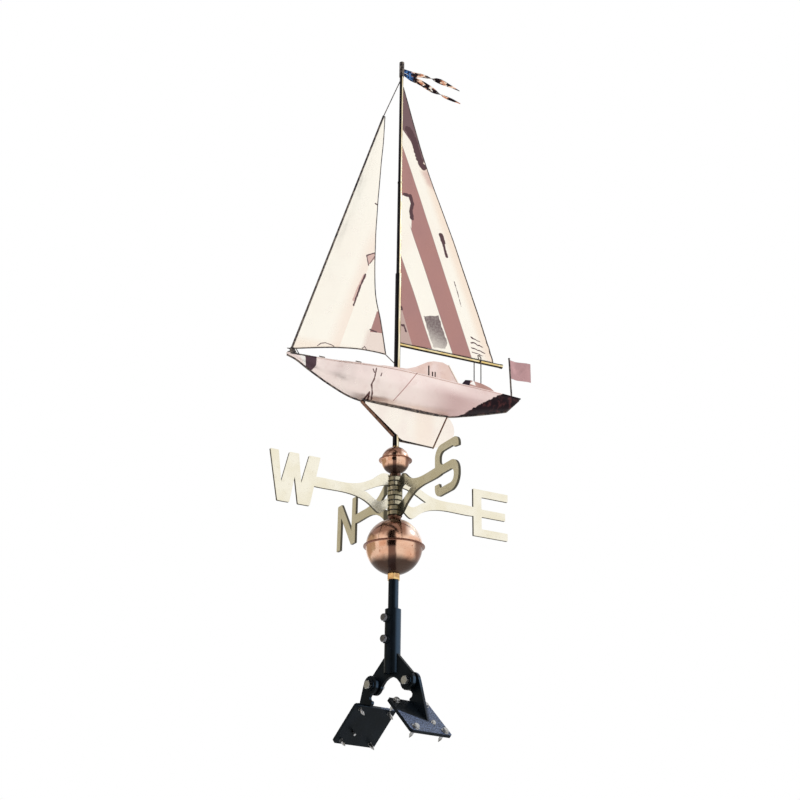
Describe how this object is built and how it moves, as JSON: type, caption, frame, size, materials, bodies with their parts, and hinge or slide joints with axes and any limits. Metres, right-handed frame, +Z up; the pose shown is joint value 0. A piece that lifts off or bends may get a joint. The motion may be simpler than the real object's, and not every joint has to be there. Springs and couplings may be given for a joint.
{
  "type": "weather vane",
  "caption": "Sailing-yacht weather vane with sails, compass letters, ball spacers and a hinged ridge mount for a roof.",
  "frame": {"origin": "point on the pole's axis where the two roof slopes meet, midway between the foot bolts", "axes": "+Z up along the pole, +X along the roof ridge, -Y towards the near foot"},
  "size_m": [0.5504, 0.4708, 1.4923],
  "materials": {
    "sail_copper": null,
    "hull_copper": "polished copper sheet, formed by hand",
    "ball_copper": "polished spun copper",
    "brass": "polished brass",
    "black_paint": "semi-gloss black powder coat",
    "zinc": "bright zinc plate",
    "steel_rod": "bright drawn steel",
    "wire": "darkened brass wire"
  },
  "bodies": {
    "roof_mount": {"ridge_bracket": "black_paint", "socket_weld_nuts": "black_paint", "socket_set_screws": "zinc", "pivot_spacers": "black_paint", "pivot_washers": "black_paint", "pivot_bolts": "zinc", "pivot_nuts": "zinc"},
    "near_foot": {"near_foot": "black_paint", "near_lag_screws": "zinc"},
    "far_foot": {"far_foot": "black_paint", "far_lag_screws": "zinc"},
    "pole_stack": {"pole": "black_paint", "collar_nut": "brass", "spindle_rod": "steel_rod", "bearing_ball": "steel_rod", "large_ball_lower": "ball_copper", "large_ball_upper": "ball_copper", "small_ball_lower": "ball_copper", "small_ball_upper": "ball_copper", "lower_lock_nut": "brass", "upper_lock_nut": "brass", "spindle_washer": "brass"},
    "compass_arms": {"casting_east_west": "brass", "casting_north_south": "brass", "casting_set_screws": "zinc"},
    "yacht": {"boom": "brass", "boom_cap": "brass", "boom_crutch": "wire", "bow_fitting": "wire", "cabin": "hull_copper", "coaming": "hull_copper", "deck": "hull_copper", "deck_cleats": "wire", "flag_staff": "wire", "forestay": "wire", "hull": "hull_copper", "jib": "sail_copper", "jib_sheet_wire": "wire", "jib_stay": "brass", "keel_fin": "hull_copper", "keel_strut": "brass", "mainsail": "sail_copper", "mast_cap": "brass", "mast_lower": "brass", "mast_upper": "brass", "pennant_lower": "sail_copper", "pennant_upper": "sail_copper", "rudder": "hull_copper", "rudder_post": "brass", "spindle_sleeve": "brass", "stern_flag": "sail_copper", "windshield_frame": "hull_copper"}
  },
  "joints": [
    {"name": "near_foot_pitch", "type": "hinge", "parent": "roof_mount", "child": "near_foot", "pos_m": [0, -0.042, 0], "axis": [1, 0, 0], "range_deg": [-45, 15]},
    {"name": "far_foot_pitch", "type": "hinge", "parent": "roof_mount", "child": "far_foot", "pos_m": [0, 0.042, 0], "axis": [-1, 0, 0], "range_deg": [-45, 15]},
    {"name": "pole_height", "type": "slide", "parent": "roof_mount", "child": "pole_stack", "axis": [0, 0, 1], "range_m": [-0.01, 0.045]},
    {"name": "compass_turn", "type": "hinge", "parent": "pole_stack", "child": "compass_arms", "pos_m": [0, 0, 0.354], "axis": [0, 0, 1], "continuous": true},
    {"name": "wind_turn", "type": "hinge", "parent": "pole_stack", "child": "yacht", "pos_m": [0, 0, 0.64], "axis": [0, 0, 1], "continuous": true}
  ]
}
